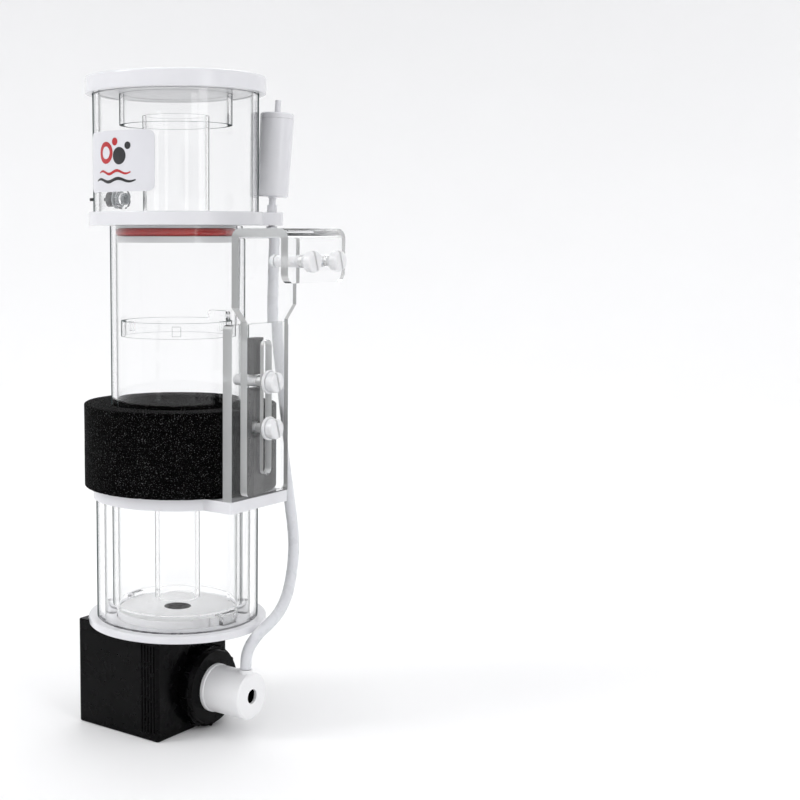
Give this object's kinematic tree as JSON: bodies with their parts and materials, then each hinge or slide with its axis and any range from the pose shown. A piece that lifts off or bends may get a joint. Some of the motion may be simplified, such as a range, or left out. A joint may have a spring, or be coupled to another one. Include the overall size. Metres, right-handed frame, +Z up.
{
  "type": "protein skimmer",
  "caption": "Hang-on protein skimmer: clear column on a needle-wheel pump, foam cup with lid and air silencer, sponge ring, slotted hook with nylon clamp screws.",
  "frame": {"origin": "on the column's vertical axis, at the level of the pump housing's underside", "axes": "+Z up along the column; +X towards the hook for the tank's rim and the pump's intake; +Y completes the right-hand frame, towards the air hose and silencer"},
  "size_m": [0.1611, 0.1033, 0.35],
  "materials": {
    "clear_acrylic": "clear, polished",
    "white_pvc": "satin white",
    "black_plastic": "moulded, satin black",
    "rotor_plastic": "moulded",
    "sponge_foam": "open-cell filter sponge",
    "block_foam": "closed-cell foam rubber",
    "red_silicone": "smooth silicone",
    "black_rubber": "smooth rubber",
    "milky_silicone": "milky, flexible",
    "grey_plastic": "moulded",
    "nylon": "natural white nylon",
    "soft_cap": "soft white",
    "label_film": "printed film",
    "ferrite": "sintered ferrite",
    "ceramic": "polished ceramic",
    "core_steel": "laminated electrical steel",
    "coil_copper": "enamelled copper winding"
  },
  "bodies": {
    "column": {"base_flange": "white_pvc", "bayonet_hooks": "clear_acrylic", "tube_pegs": "clear_acrylic", "chamber_tube": "clear_acrylic", "column_tube": "clear_acrylic", "bubble_pipe": "clear_acrylic", "bubble_plate": "clear_acrylic", "guide_ring": "clear_acrylic", "shelf": "white_pvc", "back_plate": "clear_acrylic", "pad_lower": "block_foam", "pad_middle": "block_foam", "pad_upper": "block_foam", "air_hose": "milky_silicone"},
    "sponge": {"sponge_ring": "sponge_foam"},
    "cup": {"cup_floor": "white_pvc", "cup_neck": "white_pvc", "neck_seal": "red_silicone", "cup_wall": "clear_acrylic", "riser_tube": "clear_acrylic", "drain_stub": "grey_plastic", "drain_nut": "clear_acrylic", "cup_label": "label_film", "ear_fitting": "white_pvc"},
    "drain_plug": {"drain_plug": "black_rubber"},
    "silencer": {"silencer_body": "white_pvc", "silencer_cap": "white_pvc", "silencer_foam": "sponge_foam"},
    "lid": {"lid": "white_pvc", "foam_guard": "clear_acrylic"},
    "hanger": {"hanger": "clear_acrylic"},
    "slot_screw_lower": {"slot_screw_lower": "nylon", "slot_washer_lower": "nylon"},
    "slot_screw_upper": {"slot_screw_upper": "nylon", "slot_washer_upper": "nylon"},
    "clamp_screw_left": {"clamp_screw_left": "nylon", "clamp_tip_left": "soft_cap"},
    "clamp_screw_right": {"clamp_screw_right": "nylon", "clamp_tip_right": "soft_cap"},
    "pump": {"pump_housing": "black_plastic", "motor_back_plate": "black_plastic", "cable_gland": "black_plastic", "rotor_can": "rotor_plastic", "stator_core": "core_steel", "stator_coil": "coil_copper", "outlet_plate": "white_pvc", "rear_bush": "black_rubber", "rotor_shaft": "ceramic", "intake": "white_pvc", "intake_sleeve": "black_plastic", "outlet_sleeve": "black_plastic", "front_bush": "black_rubber"},
    "volute_cover": {"volute_cover": "black_plastic", "cover_seal": "black_rubber"},
    "rotor": {"rotor_magnet": "ferrite", "impeller": "rotor_plastic"}
  },
  "joints": [
    {"name": "sponge_lift", "type": "slide", "parent": "column", "child": "sponge", "axis": [0, 0, 1], "range_m": [0, 0.008]},
    {"name": "cup_lift", "type": "slide", "parent": "column", "child": "cup", "axis": [0, 0, 1], "range_m": [0, 0.05]},
    {"name": "drain_plug_pull", "type": "slide", "parent": "cup", "child": "drain_plug", "axis": [-1, 0, 0], "range_m": [0, 0.008]},
    {"name": "silencer_pull", "type": "slide", "parent": "cup", "child": "silencer", "axis": [0.0347, 0.0437, 0.9984], "range_m": [0, 0.008]},
    {"name": "lid_lift", "type": "slide", "parent": "cup", "child": "lid", "axis": [0, 0, 1], "range_m": [0, 0.03]},
    {"name": "hanger_slide", "type": "slide", "parent": "column", "child": "hanger", "axis": [0, 0, 1], "range_m": [-0.017, 0.02]},
    {"name": "slot_screw_lower_turn", "type": "hinge", "parent": "column", "child": "slot_screw_lower", "pos_m": [0.0635, 0, 0.1682], "axis": [1, 0, 0], "continuous": true},
    {"name": "slot_screw_upper_turn", "type": "hinge", "parent": "column", "child": "slot_screw_upper", "pos_m": [0.0635, 0, 0.1923], "axis": [1, 0, 0], "continuous": true},
    {"name": "clamp_left_travel", "type": "slide", "parent": "hanger", "child": "clamp_screw_left", "axis": [1, 0, 0], "range_m": [-0.0022, 0.0125]},
    {"name": "clamp_right_travel", "type": "slide", "parent": "hanger", "child": "clamp_screw_right", "axis": [1, 0, 0], "range_m": [-0.0022, 0.0125]},
    {"name": "pump_twist", "type": "hinge", "parent": "column", "child": "pump", "pos_m": [0, 0, 0.056], "axis": [0, 0, 1], "range_deg": [0, 24]},
    {"name": "cover_twist", "type": "hinge", "parent": "pump", "child": "volute_cover", "pos_m": [0.022, 0, 0.0228], "axis": [1, 0, 0], "range_deg": [0, 30]},
    {"name": "rotor_spin", "type": "hinge", "parent": "pump", "child": "rotor", "pos_m": [-0.01, 0, 0.0228], "axis": [1, 0, 0], "continuous": true}
  ]
}
